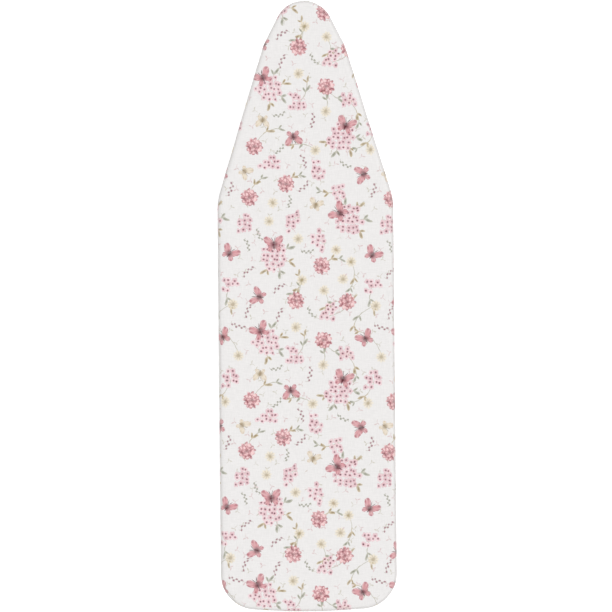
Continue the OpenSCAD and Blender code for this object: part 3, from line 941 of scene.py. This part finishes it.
def gather_hem(piece):
    """Puckers the hem by simulation: its cloth is longer than the way it spans, held at both edges."""
    points = piece.data.vertices
    rows = HEM_RINGS + 2
    first = len(points) - (CASING_RINGS + HEM_RINGS + 1) * EDGE_POINTS
    places = [points[first + i].co.copy() for i in range(rows * EDGE_POINTS)]
    faces = []
    for row in range(rows - 1):
        for i in range(EDGE_POINTS):
            j = (i + 1) % EDGE_POINTS
            a, b = row * EDGE_POINTS, (row + 1) * EDGE_POINTS
            faces.append((a + i, a + j, b + j, b + i))
    strip = sim_mesh("hem_strip", places, faces)
    held = strip.vertex_groups.new(name="held")
    last = (rows - 1) * EDGE_POINTS
    held.add([*range(EDGE_POINTS), *range(last, last + EDGE_POINTS)], 1.0, "REPLACE")

    x, y, z = HALF_W, HALF_L, HEM_Z + 0.0002
    steel = sim_mesh("steel_above", [Vector(place) for place in
        ((-x, -y, z), (x, -y, z), (x, y, z), (-x, y, z))], [(0, 1, 2, 3)])
    steel.modifiers.new("steel", "COLLISION")
    steel.collision.thickness_outer = 0.001

    cloth = strip.modifiers.new("gather", "CLOTH")
    cloth.settings.quality = 7
    cloth.settings.mass = 0.12
    cloth.settings.tension_stiffness = 18
    cloth.settings.compression_stiffness = 18
    cloth.settings.shear_stiffness = 4
    cloth.settings.bending_stiffness = 0.25
    cloth.settings.shrink_min = -0.14
    cloth.settings.vertex_group_mass = "held"
    cloth.settings.effector_weights.gravity = 0.25
    cloth.collision_settings.distance_min = 0.001
    cloth.collision_settings.use_self_collision = False
    cloth.point_cache.frame_end = SIM_FRAMES
    for step in range(1, SIM_FRAMES + 1):
        bpy.context.scene.frame_set(step)
    solved = strip.evaluated_get(bpy.context.evaluated_depsgraph_get()).data.vertices
    for i in range(EDGE_POINTS, last):
        row = i // EDGE_POINTS
        hold = smooth_share(row / 4) * smooth_share((rows - 1 - row) / 3)
        move = (solved[i].co / SIM_SCALE - places[i]) * hold
        move.xy *= SIDEWAYS_SHARE
        if move.length > GATHER_REACH:
            move *= GATHER_REACH / move.length
        place = places[i] + move
        place.z = min(place.z, HEM_Z)
        points[first + i].co = place
    bpy.context.scene.frame_set(1)
    for scratch in (strip, steel):
        bpy.data.objects.remove(scratch)


def build_stitches(piece):
    """A row of stitches that closes the casing, on its second ring of points."""
    mesh = bmesh.new()
    first = len(piece.data.vertices) - (CASING_RINGS - 1) * EDGE_POINTS
    seam = [piece.data.vertices[first + i].co for i in range(EDGE_POINTS)]
    walked = 0.0
    for a, b in zip(seam, seam[1:] + seam[:1]):
        walked += (b - a).length
        if walked < STITCH_PITCH:
            continue
        walked -= STITCH_PITCH
        along = (b - a).normalized()
        place = Matrix.Translation(b - Vector((0, 0, STITCH_T / 3)))
        shape = Matrix.Diagonal((STITCH_L, STITCH_T * 1.4, STITCH_T, 1))
        bmesh.ops.create_icosphere(mesh, subdivisions=1, radius=0.5,
            matrix=place @ along.to_track_quat("X", "Z").to_matrix().to_4x4() @ shape)
    return mesh_object("casing_stitches", mesh, thread)


PAD_SOFT = 0.0016  # radius of the felt's edge
PAD_GAP = 0.0004
PAD_TOP_DROP, PAD_LIFT = 0.0006, 0.0002  # room for its uneven faces inside the CAD's felt


def build_pad():
    """Felt slab with soft edges, under the cover."""
    low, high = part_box("felt_pad")
    edge = loop(edge_circles())
    gap = HALF_W - high[0] + PAD_GAP
    top, bottom = high[2] - PAD_TOP_DROP, low[2] + PAD_LIFT

    def cap(z, shares):
        rings = []
        for share in shares:
            ring = []
            for p, n in edge:
                flat = spine_point(p).lerp(p - n * (gap + PAD_SOFT), share)
                wave = noise(Vector((flat.x * 90, flat.y * 90, z * 50))) * 0.00012
                ring.append((Vector((flat.x, flat.y, z + wave)), Vector((flat.x, flat.y, z))))
            rings.append(ring)
        return rings

    def side(z, turn, way):
        """A ring on the rounded edge, turned from the flat face at z; way is -1 for down."""
        a = math.radians(turn)
        inset = gap + PAD_SOFT * (1 - math.sin(a))
        z += way * PAD_SOFT * (1 - math.cos(a))
        return [(Vector((*(p - n * inset), z)), Vector((p.x, p.y, 0))) for p, n in edge]

    rings = cap(top, (0, 0.3, 0.6, 0.85, 1.0))
    rings += [side(top, turn, -1) for turn in (30, 60, 90)]
    rings += [side(bottom, turn, 1) for turn in (90, 60, 30)]
    rings += cap(bottom, (1.0, 0.85, 0.6, 0.3, 0))
    mesh = skin_rings(rings)
    bmesh.ops.remove_doubles(mesh, verts=mesh.verts, dist=1e-6)
    return mesh_object("felt_layer", mesh, felt)


cover = build_cover()
gather_hem(cover)
stitches = build_stitches(cover)
pad = build_pad()

# The print reads the cloth attribute in millimetres.
for vertex in cover.data.attributes["cloth"].data:
    vertex.vector = Vector(vertex.vector) * 1000

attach(cover, "board")
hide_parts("cover")
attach(stitches, "board")
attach(pad, "board")
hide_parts("felt_pad")


# ---------------------------------------------------------------- floor

FLOOR_GLOW = 0.35  # keeps the backdrop white in the board's soft shadow
FLOOR_SIZE = 6.0


def add_floor():
    mesh = bmesh.new()
    bmesh.ops.create_grid(mesh, x_segments=1, y_segments=1, size=FLOOR_SIZE)
    data = bpy.data.meshes.new("floor")
    mesh.to_mesh(data)
    mesh.free()
    material, t, shader = new_material("pale_floor", roughness=0.9, specular_ior_level=0.1)
    tone = t.noise(object_mm(t), 400.0, 2.0)
    t.feed(shader.inputs["Base Color"], t.mix(tone, linear(250, 250, 250), linear(252, 252, 252)))
    shader.inputs["Emission Color"].default_value = (1, 1, 1, 1)
    shader.inputs["Emission Strength"].default_value = FLOOR_GLOW
    data.materials.append(material)
    floor = bpy.data.objects.new("floor", data)
    floor.location.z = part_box("front_feet")[0][2]
    bpy.context.collection.objects.link(floor)


add_floor()
